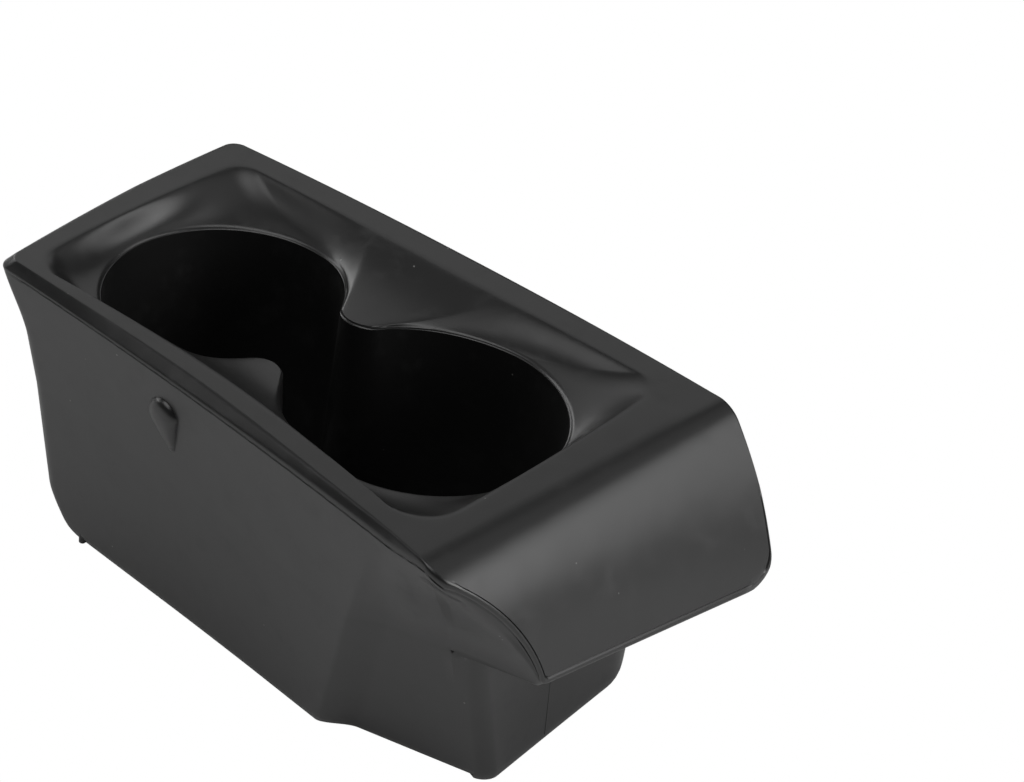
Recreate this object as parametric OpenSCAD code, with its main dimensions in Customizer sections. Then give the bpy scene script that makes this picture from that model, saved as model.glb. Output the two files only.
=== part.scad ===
// Car cup holder: one flexible moulding with a dished tray, two joined cup wells,
// a flange round the top and an apron that rolls over the right-hand end.
// The base rests on Z = 0, the Z axis is midway between the two wells,
// and X runs along the row of wells towards the apron.

/* [Body] */
// Height from the base to the top of the flange
body_h = 99.5; // [90:0.5:110]
// Length of the flange from its left edge to the crease of the apron
flange_len = 200; // [196:1:220]
// Distance from the crease to the axis midway between the wells
crease_x = 100; // [99:0.5:106]
// Y of the near flange edge at the left end
near_left_y = -45.5; // [-52:0.5:-43]
// Y of the near flange edge at the crease
near_right_y = -60.5; // [-66:0.5:-57]
// Width of the flange at the left end
left_w = 104.5; // [98:0.5:110]
// Width of the flange at the crease
right_w = 126.5; // [122:0.5:134]
// Drop from the top of the flange to the parting line
edge_r = 3; // [1.5:0.25:4]
// Step of the near left corner in from the far left one
left_skew = 4; // [0:0.5:8]
// Inward lean of the walls from the flange to the base
wall_lean = 9; // [7:0.5:11]
// Distance from the left edge of the flange in to the left wall
left_overhang = 10; // [7:0.5:12]
// The same distance right under the edge of the flange
left_overhang_top = 4; // [2:0.5:6]
// Height of the curve between the two
overhang_h = 26; // [16:1:30]
// Reach of the curve at the foot of the left wall
toe = 8; // [2:0.5:10]
// Height of that curve
toe_h = 16; // [8:1:22]
// Rounding of the near left corner of the walls
left_near_r = 8; // [4:0.5:12]
// Rounding of the far left corner of the walls
left_far_r = 30; // [20:1:36]
// Hollow of the near wall between its ends
near_hollow = 2.5; // [0:0.25:4]
// Bulge of the far edge between its ends
far_bulge = 3.5; // [0:0.25:5]
// Bulge of the left edge between its ends
left_bulge = 1.5; // [0:0.25:3]
// Rounding of the edge between the walls and the base
base_r = 4.5; // [2:0.5:6]

/* [Tray] */
// Length of the tray opening
tray_len = 174; // [170:1:180]
// X of the right-hand lip of the tray
tray_right_x = 85.5; // [84.5:0.5:90]
// Width of the flange beside the tray at the near left corner
rim_near_left = 5.5; // [4:0.25:7]
// Width of the flange beside the tray at the near crease
rim_near_right = 11; // [9:0.5:13]
// Width of the flange beside the tray at the far crease
rim_far_right = 9.5; // [8:0.5:12]
// Width of the flange beside the tray at the far left corner
rim_far_left = 9; // [7:0.5:11]
// Depth of the dished floor at the left-hand well
dish_left = 8; // [5:0.5:11]
// Depth of the dished floor at the right-hand well
dish_right = 5.5; // [4:0.5:9]

/* [Wells] */
// Distance between the axes of the two wells
well_pitch = 85; // [83:0.5:88]
// Radius of the left-hand well at its mouth
left_well_r = 40; // [37:0.5:41]
// Radius of the right-hand well at its mouth
right_well_r = 42; // [38:0.5:42]
// How much narrower a well is at its floor than at its mouth
well_lean = 6.5; // [6:0.5:9]
// Y of the line through both wells
well_y = 1; // [-1:0.5:4]
// Width of the neck between the two wells
neck_w = 34; // [28:1:40]
// X of the middle of the neck
neck_x = -5.5; // [-8:0.5:2]
// Thickness under the wells
floor_t = 5; // [3:0.5:9]
// Rounding round the floor of a well
floor_r = 6; // [3:0.5:9]

/* [Apron] */
// Radius of the roll at the near edge
roll_near_r = 19.5; // [14:0.5:26]
// Radius of the roll at the far edge
roll_far_r = 9; // [6:0.5:16]
// Angle that the near edge turns through
roll_near_angle = 88; // [70:1:92]
// Angle that the far edge turns through in the roll
roll_far_angle = 50; // [40:1:70]
// Length of the apron over its surface at the near edge
apron_near_len = 53.5; // [44:0.5:56]
// Length of the apron over its surface at the far edge
apron_far_len = 60; // [50:0.5:64]
// Distance of the near bottom corner of the apron in from its near top corner
apron_near_in = 27.5; // [20:0.5:35]
// Distance of the far bottom corner of the apron in from its far top corner
apron_far_in = 7; // [2:0.5:14]
// Thickness of the lip along the bottom of the apron
apron_lip = 2; // [1:0.25:4]

/* [Lower block] */
// X of the end face at its near corner
block_near_x = 99.5; // [96:0.5:100]
// X of the end face at its far corner
block_far_x = 94.5; // [91:0.5:98]
// Rounding of the near corner of the block
block_near_r = 4; // [2:0.5:8]
// Rounding of the far corner of the block
block_far_r = 20; // [10:1:26]
// Height of the underside of the apron above the base
underside_z = 55; // [48:1:60]
// X where the near wall starts to step in
recess_x = 45; // [42:1:52]
// Length of the slope into the recess
recess_run = 32; // [20:1:44]
// Depth of the recess at the base
recess_d = 16; // [6:0.5:17]
// Further depth of the recess at the end face
recess_end_d = 6; // [0:0.5:8]

/* [Boss] */
// X of the boss on the near wall
boss_x = -22; // [-40:1:-10]
// Height of the head of the boss
boss_z = 77; // [60:1:80]
// Radius of the head of the boss
boss_r = 5.5; // [3:0.25:7]
// Length of the tail of the boss
boss_tail = 11; // [6:0.5:16]
// Reach of the boss out of the wall
boss_out = 3; // [1:0.25:5]
// Sideways slant of the boss from its head to the end of its tail
boss_slant = 3; // [0:0.5:6]
// Radius at the end of the tail
boss_tail_r = 1.5; // [1:0.25:2.5]

/* [Peg] */
// Distance along the near wall from the toe of the left wall to the small peg
peg_in = 12; // [9:0.5:30]
// Radius of the peg
peg_r = 1.25; // [0.75:0.25:2]
// Length of the peg that stands clear
peg_len = 2.5; // [1:0.25:4]
// Height of the lower end of the peg above the base
peg_z = 0.5; // [0.25:0.25:2]

/* [Hidden] */
moulding_colour = "#1f1f20";
left_x = crease_x - flange_len;
far_left_y = near_left_y + left_w;
far_right_y = near_right_y + right_w;
apron_near_y = near_right_y + apron_near_in;
apron_far_y = far_right_y - apron_far_in;
tray_left_x = tray_right_x - tray_len;
well_c = well_pitch / 2;

function lerp(a, b, t) = a + (b - a) * t;
function clamp(v, lo = 0, hi = 1) = min(hi, max(lo, v));
function smooth(t) = let (k = clamp(t)) k * k * (3 - 2 * k);
function unit(v) = v / norm(v);
function rad(a) = a * PI / 180;

// Half the angle between the two sides that meet at the corner c
function half_angle(p, c, q) = acos(clamp(unit(p - c) * unit(q - c), -1, 1)) / 2;

// Point where the rounding of the corner c meets the side that leads to p
// A negative radius leaves the corner as it is and spreads its points that far
function tangent(c, p, q, r) =
    c + unit(p - c) * (r < 0 ? -r : r / tan(half_angle(p, c, q)));

// Points of the rounding of the corner c between its neighbours p and q
function corner(p, c, q, r, n) =
    let (s = tangent(c, p, q, r), e = tangent(c, q, p, r))
    r < 0 ? [for (i = [0 : n]) let (t = i / n) t < 0.5 ? lerp(s, c, 2 * t) : lerp(c, e, 2 * t - 1)] :
    let (
        half = half_angle(p, c, q),
        centre = c + unit(unit(p - c) + unit(q - c)) * r / sin(half),
        a0 = atan2(s[1] - centre[1], s[0] - centre[0]),
        turn = acos(clamp(unit(s - centre) * unit(e - centre), -1, 1))
    )
    [for (i = [0 : n]) let (a = a0 + turn * i / n) centre + r * [cos(a), sin(a)]];

// Points between two corners on a side that bows outward by b and has its points
// drawn to its end, or to its start where pull is under 1
function side(s, e, b, n, pull) =
    let (d = unit(e - s), out = [d[1], -d[0]])
    [for (i = [1 : n - 1])
        let (t = pull > 1 ? 1 - pow(1 - i / n, pull) : pow(i / n, 2 - pull))
        s + (e - s) * t + out * b * 4 * t * (1 - t)];

// Closed outline through six corners, anticlockwise from above: near left, near crease,
// near bottom of the apron, far bottom of the apron, far crease, far left
side_n = [22, 6, 9, 6, 20, 9];
side_pull = [1.3, 1, 1, 1, 0.7, 1];
arc_n = 4;
function outline(c, r, bow) =
    [for (i = [0 : 5])
        let (
            p = c[(i + 5) % 6], q = c[(i + 1) % 6], next = c[(i + 2) % 6],
            s = tangent(c[i], q, p, r[i]), e = tangent(q, c[i], next, r[(i + 1) % 6])
        )
        each concat(corner(p, c[i], q, r[i], arc_n), side(s, e, bow[i], side_n[i], side_pull[i]))];

// Place of each outline point, counted in corners and sides: 0 is the near left corner,
// 1 the near crease, 2 the near bottom of the apron and so on
function places() =
    [for (i = [0 : 5])
        each concat([for (k = [0 : arc_n]) i], [for (k = [1 : side_n[i] - 1]) i + k / side_n[i]])];
place = places();
// Places where the walls pass into the flanks of the apron, and where its bottom edge starts and ends
near_end = max([for (i = [0 : len(place) - 1]) if (place[i] == 1) i]);
far_end = min([for (i = [0 : len(place) - 1]) if (place[i] == 4) i]);
bottom_start = min([for (i = [0 : len(place) - 1]) if (place[i] == 2) i]);
bottom_end = max([for (i = [0 : len(place) - 1]) if (place[i] == 3) i]);

// Distance from the middle of the neck to an outline, in direction a
function reach(loop, a) =
    let (d = [cos(a), sin(a)], k = len(loop))
    max([for (i = [0 : k - 1])
        let (
            p = loop[i], q = loop[(i + 1) % k], e = q - p,
            det = d[0] * e[1] - d[1] * e[0]
        )
        if (abs(det) > 1e-9)
            let (t = (p[0] * e[1] - p[1] * e[0]) / det, s = (p[0] * d[1] - p[1] * d[0]) / det)
            if (t > 0 && s >= -1e-6 && s <= 1 + 1e-6) t]);

// Distance to the outline of two joined wells, less m all round, with round cusps
// that keep the width of the neck
function wells(a, m) =
    let (
        rl = left_well_r - m, rr = right_well_r - m, c = well_c, tip = neck_w / 2,
        mean = (rl + rr) / 2, half = (rr - rl) / 2,
        round_r = (c * c + tip * tip - mean * mean) / (2 * (mean - tip)),
        p = [-half * (mean + round_r) / c, tip + round_r],
        left = [-c, 0], right = [c, 0],
        touch_l = left + (p - left) * rl / (rl + round_r),
        touch_r = right + (p - right) * rr / (rr + round_r),
        u = [cos(a), abs(sin(a))], way = atan2(u[1], u[0])
    )
    way < atan2(touch_r[1], touch_r[0]) ? c * u[0] + sqrt(max(0, rr * rr - c * c * u[1] * u[1])) :
    way > atan2(touch_l[1], touch_l[0]) ? -c * u[0] + sqrt(max(0, rl * rl - c * c * u[1] * u[1])) :
    p * u - sqrt(max(0, round_r * round_r - p * p + (p * u) * (p * u)));

// Flange and apron laid out flat: the apron carries on past the crease
flat_corners = [
    [left_x + left_skew, near_left_y], [crease_x, near_right_y],
    [crease_x + apron_near_len, apron_near_y], [crease_x + apron_far_len, apron_far_y],
    [crease_x, far_right_y], [left_x, far_left_y]];
flat_r = [3, 4, 3, 9, 25, 5];
flat_edge = outline(flat_corners, flat_r, [-near_hollow, 0, 0, 0, far_bulge, left_bulge]);

// The near and far lips of the tray bow a little more and a little less than the flange
tray_near_bow = near_hollow + 2;
tray_far_bow = far_bulge - 2.5;
tray_right_bow = 0.2;
tray_r = [11, 14, -4, -4, 9, 8];
tray_lip = outline(
    [[tray_left_x + 1, near_left_y + rim_near_left], [tray_right_x, near_right_y + rim_near_right],
        [tray_right_x + tray_right_bow, near_right_y * 0.17],
        [tray_right_x + tray_right_bow, far_right_y * 0.3],
        [tray_right_x, far_right_y - rim_far_right], [tray_left_x, far_left_y - rim_far_left]],
    tray_r, [-tray_near_bow, 0, 0, 0, tray_far_bow, left_bulge - 1]);

// Where a point of the flat layout lies on the real moulding, and which way it faces.
// Past the roll the apron turns on a little, more at its far edge
near_curl = 2;
far_curl = 16;
function roll(a, b) =
    let (
        s = max(0, a - crease_x),
        w = clamp((b - near_right_y) / (far_right_y - near_right_y)),
        r = lerp(roll_near_r, roll_far_r, w),
        first = lerp(roll_near_angle, roll_far_angle, w),
        l1 = r * rad(first), l2 = lerp(apron_near_len, apron_far_len, w) - l1,
        second = lerp(near_curl, far_curl, w), r2 = l2 / rad(second),
        t1 = first * clamp(s / l1), t2 = first + second * max(0, s - l1) / l2,
        x = r * sin(t1) + (s > l1 ? r2 * (sin(t2) - sin(first)) : 0),
        z = r * (1 - cos(t1)) + (s > l1 ? r2 * (cos(first) - cos(t2)) : 0),
        turn = s > l1 ? t2 : t1
    )
    [[min(a, crease_x) + x, b, body_h - z], [sin(turn), 0, cos(turn)]];
function skin(p, drop) = let (at = roll(p[0], p[1])) at[0] - at[1] * drop;

// One spoke for each point of the flange edge, and the direction that it takes to the
// lip of the tray and, drawn in towards the cusps, to the wells
edge = [for (p = flat_edge) skin(p, edge_r)];
spokes = len(edge);
way = [for (p = flat_edge) atan2(p[1], p[0])];
well_way = [for (a = way) a + 10 * sin(2 * a)];
lip_r = [for (a = way) reach(tray_lip, a)];
lip_limit = [for (a = well_way) reach(tray_lip, a)];
function polar(d, a) = d * [cos(a), sin(a)];

// Point at distance d in direction a, moved with the neck where it lies between the wells
function shifted(d, a) =
    let (p = polar(d, a), k = clamp(1 - pow(p[0] / well_c, 2)))
    [p[0] + neck_x * k * k, p[1]];

// Share of a spoke, from the edge to the lip, at step t. Steps up to 0.7 stop at the
// crease on a spoke that crosses the apron, so that the roll stays even
function flange_share(i, t) =
    let (
        out = norm(flat_edge[i]) * cos(way[i]), lip = lip_r[i] * cos(way[i]),
        cross = out > crease_x ? (out - crease_x) / (out - lip) : 0,
        fold = t < 0.7 ? cross * t / 0.7 : lerp(cross, 1, (t - 0.7) / 0.3)
    )
    lerp(t, fold, smooth((out - crease_x) / 16));
function flange_ring(inset, t, drop) =
    [for (i = [0 : spokes - 1])
        let (d = lerp(norm(flat_edge[i]) - inset, lip_r[i] + 1, flange_share(i, t)))
        skin(d * [cos(way[i]), sin(way[i])], drop)];

// Dished floor: t runs from the lip to the mouth of the wells
function dish_depth(x) = lerp(dish_left, dish_right, clamp((x + well_c) / well_pitch));
function well_at(i, m) = let (a = well_way[i]) wells(a, m) + well_y * sin(a);
mouth_r = [for (i = [0 : spokes - 1]) min(well_at(i, 0), lip_limit[i] - 1.5)];
// Share of an even slope in the dish, beside the steep start at its lip
bench = 0.35;
function soft_min(a, b) = (a + b - sqrt((a - b) * (a - b) + 3)) / 2;
function dish_z(i, t) =
    let (gap = lip_limit[i] - mouth_r[i], depth = dish_depth(mouth_r[i] * cos(well_way[i])))
    body_h - soft_min(depth, 2 + gap * 1.3) * lerp(1 - pow(1 - t, 3), t, bench);
function dish_ring(t) =
    [for (i = [0 : spokes - 1])
        let (p = lerp(polar(lip_r[i], way[i]), shifted(mouth_r[i], well_way[i]), t))
        [p[0], p[1], dish_z(i, t)]];

// Walls of the wells, leaning in towards the floor; inset rounds the mouth and floor
lip_round = 1.4;
function well_ring(h, inset, drop = 0) =
    [for (i = [0 : spokes - 1])
        let (
            top = dish_z(i, 1) - drop, z = h < 0 ? top : lerp(floor_t, top, h),
            m = well_lean * (1 - (z - floor_t) / (body_h - floor_t)),
            p = shifted(min(well_at(i, m), mouth_r[i]) - inset, well_way[i])
        )
        [p[0], p[1], z]];
function floor_ring(t) =
    [for (i = [0 : spokes - 1])
        let (p = shifted(well_at(i, well_lean + lip_round) - floor_r * (1 - sin(90 * t)), well_way[i]))
        [p[0], p[1], floor_t + floor_r * (1 - cos(90 * t))]];

// Depth of the recess in the near wall
function recess(x, z) =
    let (
        down = clamp((body_h - edge_r - z) / (body_h - edge_r)),
        along = smooth((x - recess_x) / recess_run),
        past = clamp((x - recess_x - recess_run) / (block_near_x - recess_x - recess_run)),
        level = 0.6 * smooth(down / 0.4) + 0.4 * down
    )
    (recess_d * along + recess_end_d * past) * level;

// Corners of the walls at height z
function lean(z) = wall_lean * (1 - z / (body_h - edge_r));
function left_wall(z) =
    left_x + lerp(left_overhang, left_overhang_top, smooth((z - body_h) / overhang_h + 1))
    + lean(z) * 0.7 + toe * pow(clamp(1 - z / toe_h), 1.5);
near_overhang = 0.8;
far_overhang = 1.5;
function near_left(z) = [left_wall(z), near_left_y + lean(z) + near_overhang];
function near_right(z) = [block_near_x, near_right_y + lean(z) * 1.4 + near_overhang];
function far_right(z) = [block_far_x, far_right_y - lean(z) - far_overhang - 0.5];
function far_left(z) = [left_wall(z), far_left_y - lean(z) - far_overhang];
function between(p, q, x) = lerp(p, q, (x - p[0]) / (q[0] - p[0]));
function near_bow(z) = -near_hollow * z / body_h;
// Where the near and far walls pass from the apron to the block under it
knee_in = block_near_r + 6;
function near_knee(z) = between(near_left(z), near_right(z), block_near_x - knee_in);
function far_knee(z) = between(far_left(z), far_right(z), block_far_x - block_far_r - 6);

// Walls below the apron, with the block on their right
function block_ring(z, inset = 0) =
    let (
        n = near_right(z), f = far_right(z),
        loop = outline(
            [near_left(z), near_knee(z), n, f, far_knee(z), far_left(z)],
            [left_near_r, -2, block_near_r, block_far_r, -2, left_far_r],
            [near_bow(z), 0, 0, 0, far_bulge - 1, left_bulge])
    )
    [for (i = [0 : spokes - 1])
        let (
            p = loop[i], k = place[i], d = unit(p), cut = inset * (k >= 2 && k <= 3 ? 0.3 : 1),
            share = k <= 2 ? 1 : k < 3 ? 3 - k : 0
        )
        [p[0] - d[0] * cut, p[1] - d[1] * cut + recess(p[0], z) * share, z]];

// Corners of the bottom edge of the apron, seen from above
function above(p) = let (at = skin(p, edge_r)) [at[0], at[1]];
bottom_near = above(flat_corners[2]);
bottom_far = above(flat_corners[3]);

// Walls above the underside of the apron; t runs from the edge of the flange to the underside
function wall_loop(t) =
    let (
        z = lerp(body_h - edge_r, underside_z, t),
        n = lerp([crease_x, near_right(z)[1]], near_knee(z), t),
        f = lerp([crease_x, far_right_y - 1], far_knee(z), t),
        loop = outline(
            [near_left(z), n, bottom_near, bottom_far, f, far_left(z)],
            [lerp(flat_r[0], left_near_r, t), lerp(flat_r[1], 2, t), flat_r[2], flat_r[3],
                lerp(flat_r[4], 12, t), lerp(flat_r[5], left_far_r, smooth(t * 1.6))],
            [near_bow(z), 0, 0, 0, far_bulge - t, left_bulge])
    )
    [for (i = [0 : spokes - 1])
        [loop[i][0], loop[i][1] + (i <= near_end ? recess(loop[i][0], z) : 0), z]];

// Foot of the walls at the underside: straight lines join them to the inside of the apron
wall_foot = wall_loop(1);
function lip_foot(i) =
    let (p = edge[i]) [p[0] - apron_lip, p[1], min(p[2] - apron_lip, underside_z + 1.5)];
foot = [for (i = [0 : spokes - 1])
    i > near_end && i < bottom_start
        ? lerp(wall_foot[near_end], lip_foot(bottom_start), (i - near_end) / (bottom_start - near_end)) :
    i > bottom_end && i < far_end
        ? lerp(lip_foot(bottom_end), wall_foot[far_end], (i - bottom_end) / (far_end - bottom_end)) :
    i >= bottom_start && i <= bottom_end ? lip_foot(i) : wall_foot[i]];

// A flank of the apron follows the section of the wall next to it
function upper_ring(t) =
    let (
        wall = wall_loop(t),
        share = [for (e = [near_end, far_end]) (wall[e][1] - edge[e][1]) / (foot[e][1] - edge[e][1])]
    )
    [for (i = [0 : spokes - 1])
        i <= near_end || i >= far_end ? wall[i] :
        i >= bottom_start && i <= bottom_end ? lerp(edge[i], foot[i], t) :
        let (p = lerp(edge[i], foot[i], t), q = lerp(edge[i], foot[i], share[i < bottom_start ? 0 : 1]))
            [p[0], q[1], p[2]]];

rings = concat(
    [for (a = [90, 60, 30, 0]) block_ring(base_r * (1 - sin(a)), base_r * (1 - cos(a)))],
    [for (t = [0.18, 0.36, 0.67]) block_ring(t * underside_z)],
    [block_ring(underside_z - 0.6)],
    [for (t = [1, 0.78, 0.56, 0.36, 0.2, 0.06]) upper_ring(t)],
    [edge],
    [for (a = [45, 90]) flange_ring(edge_r * (1 - cos(a)), 0, edge_r * (1 - sin(a)))],
    [for (t = [0.14, 0.28, 0.42, 0.56, 0.7, 1]) flange_ring(edge_r, t, 0)],
    [for (t = [0.1, 0.3, 0.6, 1]) dish_ring(t)],
    [well_ring(-1, 0.35 * lip_round, 0.6), well_ring(-1, lip_round, 2.4)],
    [for (h = [0.7, 0.35]) well_ring(h, lip_round)],
    [for (t = [0.99, 0.5, 0]) floor_ring(t)]);

module moulding() {
    n = spokes;
    m = len(rings);
    points = [for (r = rings) each r];
    faces = concat(
        [[for (i = [0 : n - 1]) i]],
        [for (j = [0 : m - 2], i = [0 : n - 1])
            let (a = j * n + i, b = j * n + (i + 1) % n)
            each [[a, b + n, b], [a, a + n, b + n]]],
        [[for (i = [n - 1 : -1 : 0]) (m - 1) * n + i]]);
    polyhedron(points, faces, convexity = 8);
}

// Y of the near wall at x and height z
function near_wall_y(x, z) =
    let (
        wall_h = body_h - edge_r - underside_z,
        wall = z > underside_z ? wall_loop((body_h - edge_r - z) / wall_h) : block_ring(z)
    )
    lookup(x, [for (i = [0 : near_end]) [wall[i][0], wall[i][1]]]);

// Teardrop boss on the near wall, with its tail slanting down towards the apron
module boss() {
    tail_x = boss_x + boss_slant;
    tail_z = boss_z - boss_tail;
    hull() {
        translate([boss_x, near_wall_y(boss_x, boss_z), boss_z])
            scale([1, boss_out / boss_r, 1]) sphere(boss_r, $fn = 20);
        translate([tail_x, near_wall_y(tail_x, tail_z), tail_z]) sphere(boss_tail_r, $fn = 12);
    }
}

// Small peg that points down at the foot of the near wall
module peg() {
    x = left_wall(0) + peg_in;
    translate([x, near_wall_y(x, 0) + peg_r, peg_z]) cylinder(r = peg_r, h = peg_len + base_r, $fn = 24);
}

module cup_holder() {
    color(moulding_colour) union() {
        moulding();
        boss();
        peg();
    }
}

cup_holder();
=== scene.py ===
"""Dresses the car cup holder: one satin black moulding with two joined wells in a dished
tray, a flange round the top and an apron that rolls over the right-hand end.

Lengths are in millimetres until a mesh is made. The base rests on Z = 0, the Z axis is midway
between the two wells, and X runs along the wells to the apron. The moulding is a stack of
rings, each a closed line with one point on every spoke.
"""
import math

import bpy
import numpy as np
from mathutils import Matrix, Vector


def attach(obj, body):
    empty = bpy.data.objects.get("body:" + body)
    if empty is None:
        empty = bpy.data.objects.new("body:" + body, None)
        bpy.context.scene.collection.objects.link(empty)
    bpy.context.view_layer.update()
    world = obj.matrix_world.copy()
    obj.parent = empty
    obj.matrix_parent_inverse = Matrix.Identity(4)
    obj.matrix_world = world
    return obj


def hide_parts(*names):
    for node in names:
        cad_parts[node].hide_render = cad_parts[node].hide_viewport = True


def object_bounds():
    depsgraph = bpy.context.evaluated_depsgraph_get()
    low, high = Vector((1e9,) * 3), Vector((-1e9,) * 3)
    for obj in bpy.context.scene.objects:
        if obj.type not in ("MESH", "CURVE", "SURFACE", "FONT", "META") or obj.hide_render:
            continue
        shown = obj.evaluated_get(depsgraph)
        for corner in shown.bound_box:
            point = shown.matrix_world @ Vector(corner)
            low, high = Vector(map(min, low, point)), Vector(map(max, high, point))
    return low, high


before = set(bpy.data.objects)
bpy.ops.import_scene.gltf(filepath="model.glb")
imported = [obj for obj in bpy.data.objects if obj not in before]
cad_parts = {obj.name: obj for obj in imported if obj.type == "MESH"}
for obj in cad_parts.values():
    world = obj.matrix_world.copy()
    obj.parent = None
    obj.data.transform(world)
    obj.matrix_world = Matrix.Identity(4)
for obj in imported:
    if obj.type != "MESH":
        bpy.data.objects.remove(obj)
MM = 0.001


def plain(box):
    """Box corners as plain lists of numbers."""
    return [[float(v) for v in corner_point] for corner_point in box]


cad_box = plain(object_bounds())

# Flange seen from above: its height, ends and sides, and the bows of the sides
BODY_H = 99.5
CREASE_X, FLANGE_LEN = 100.0, 200.0
LEFT_X = CREASE_X - FLANGE_LEN
LEFT_W, RIGHT_W = 104.5, 126.5
NEAR_LEFT_Y, NEAR_RIGHT_Y = -45.5, -60.5
FAR_LEFT_Y, FAR_RIGHT_Y = NEAR_LEFT_Y + LEFT_W, NEAR_RIGHT_Y + RIGHT_W
LEFT_SKEW = 4.0
NEAR_HOLLOW, FAR_BULGE, LEFT_BULGE = 2.5, 3.5, 1.5
# Roundings of the six corners in the flat layout, in the order of outline()
FLAT_R = (4.5, 14, 3, 9, 25, 5)

# Edge of the flange: the breadth of its section, and the rounding at both ends of its slope.
# The near edge is a chamfer, the others are round, and the apron's is tight.
EDGE_R, NEAR_EDGE_R, CREASE_EDGE_R, APRON_EDGE_R = 3.0, 4.0, 1.9, 1.2
NEAR_EDGE_TAPER = 0.2
NEAR_EDGE_Q, RIGHT_EDGE_Q = 0.9, 2.4
EDGE_Q_LIMIT = 0.97
# The same at places along the outline, as pairs of place and millimetres
EDGE_BREADTH = (
    (0, NEAR_EDGE_R), (0.86, NEAR_EDGE_R - NEAR_EDGE_TAPER), (1, CREASE_EDGE_R),
    (1.1, APRON_EDGE_R), (3.4, APRON_EDGE_R), (3.8, EDGE_R), (5.4, EDGE_R), (6, NEAR_EDGE_R))
EDGE_ROUNDING = (
    (0, NEAR_EDGE_Q), (0.12, NEAR_EDGE_Q), (0.5, RIGHT_EDGE_Q), (0.95, RIGHT_EDGE_Q),
    (1.1, APRON_EDGE_R), (3.4, APRON_EDGE_R), (3.8, EDGE_R), (5.4, EDGE_R), (6, NEAR_EDGE_Q))
# Height at which the walls meet a round edge, from which their lean and recess are measured
WALL_TOP_Z = BODY_H - EDGE_R

# Roll of the apron: where it starts, its radius, the turn of its first arc, the turn of the
# slow curve after it, and the length along both
ROLL_NEAR_X, ROLL_FAR_X = 91.0, 99.5
ROLL_NEAR_R, ROLL_FAR_R = 17.0, 12.0
ROLL_ANGLE = 50.0
NEAR_CURL, FAR_CURL = 38.3, 19.4
ROLL_NEAR_LEN, ROLL_FAR_LEN = 53.8, 61.5
# Bottom corners of the apron in the flat layout, what is trimmed off, and how far the near
# edge of the apron is hollow
APRON_NEAR_A, APRON_FAR_A = 148.3, 160.1
APRON_NEAR_IN, APRON_FAR_IN = 27.5, 7.0
APRON_NEAR_Y, APRON_FAR_Y = NEAR_RIGHT_Y + APRON_NEAR_IN, FAR_RIGHT_Y - APRON_FAR_IN
APRON_TRIM = 0.8
FLANK_HOLLOW = 3.3
# Thickness of the lip of the apron, and how far its inner edge may be above the underside
APRON_LIP, INNER_LIP_UP = 2.0, 1.5

# Tray: its ends, the rims between the sides of the flange and its lip, its roundings and bows
TRAY_RIGHT_X, TRAY_LEN = 85.5, 174.0
TRAY_LEFT_X = TRAY_RIGHT_X - TRAY_LEN
RIM_NEAR_LEFT, RIM_NEAR_RIGHT, RIM_FAR_RIGHT, RIM_FAR_LEFT = 5.5, 11.0, 9.5, 9.0
TRAY_SKEW = 1.0
TRAY_R = (11, 14, -4, -4, 9, 8)
TRAY_NEAR_HOLLOW, TRAY_FAR_BULGE, TRAY_LEFT_BULGE = 4.5, 1.0, 0.5
# The right end stands out a little between two places, given as shares of the flange's sides
TRAY_RIGHT_OUT, TRAY_RIGHT_NEAR, TRAY_RIGHT_FAR = 0.2, 0.17, 0.3
# Flat strip between the last ring of the flange and the lip of the tray
LIP_STRIP = 1.0
# Breadth of the rounding at the lip: crisp towards one direction, in degrees, soft elsewhere
LIP_SOFT, LIP_CRISP = 2.6, 0.9
CRISP_WAY = -55.0
CRISP_FROM, CRISP_SPAN = -0.15, 0.5

# Dish of the tray: its depth at both wells, its least breadth, and the depth where it is narrow
DISH_LEFT, DISH_RIGHT = 8.0, 5.5
LEAST_DISH = 1.5
NARROW_DEPTH, NARROW_SLOPE, DEPTH_BLEND = 2.0, 1.3, 3.0
# Share of the depth that falls evenly, and the power of the steep start of the rest
BENCH, STEEP = 0.35, 3

# Wells: distance apart, radii at the mouth, lean, the neck, the floor and the rounded mouth
WELL_PITCH = 85.0
WELL_C = WELL_PITCH / 2
LEFT_WELL_R, RIGHT_WELL_R = 40.0, 42.0
WELL_LEAN = 6.5
WELL_Y = 1.0
NECK_W, NECK_X = 34.0, -5.5
FLOOR_T, FLOOR_R = 5.0, 6.0
LIP_ROUND, LIP_DOWN = 0.7, 0.9

# Walls: their lean, the share of it at the left and at the near right, how far they stand back
# from the flange, and the overhang, toe, corners and bow of the left and far walls
WALL_LEAN, LEFT_LEAN, RIGHT_LEAN = 9.0, 0.7, 1.4
NEAR_OVERHANG, FAR_OVERHANG, FAR_RIGHT_IN = 0.8, 1.5, 0.5
LEFT_OVERHANG, LEFT_OVERHANG_TOP, OVERHANG_H = 10.0, 4.0, 26.0
TOE, TOE_H, TOE_POWER = 8.0, 16.0, 1.5
LEFT_NEAR_R, LEFT_FAR_R, LEFT_FAR_SPEED = 8.0, 30.0, 1.6
WALL_FAR_BULGE = 2.5
# Rounding of the base, and the share of it on the end face
BASE_R, BASE_END_SHARE = 4.5, 0.3

# Block under the apron: its corners, its underside, and the straight stretch before a corner,
# where a wall above meets the block
BLOCK_NEAR_X, BLOCK_FAR_X = 99.5, 94.5
BLOCK_NEAR_R, BLOCK_FAR_R = 4.0, 20.0
UNDERSIDE_Z = 55.0
KNEE_IN, KNEE_LEN, FAR_KNEE_R = 6.0, 2.0, 12.0
FAR_CREASE_IN = 1.0
# How far below the underside the last two rings of the block are
JOINT_LOW, JOINT_HIGH = 2.5, 0.6

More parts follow.
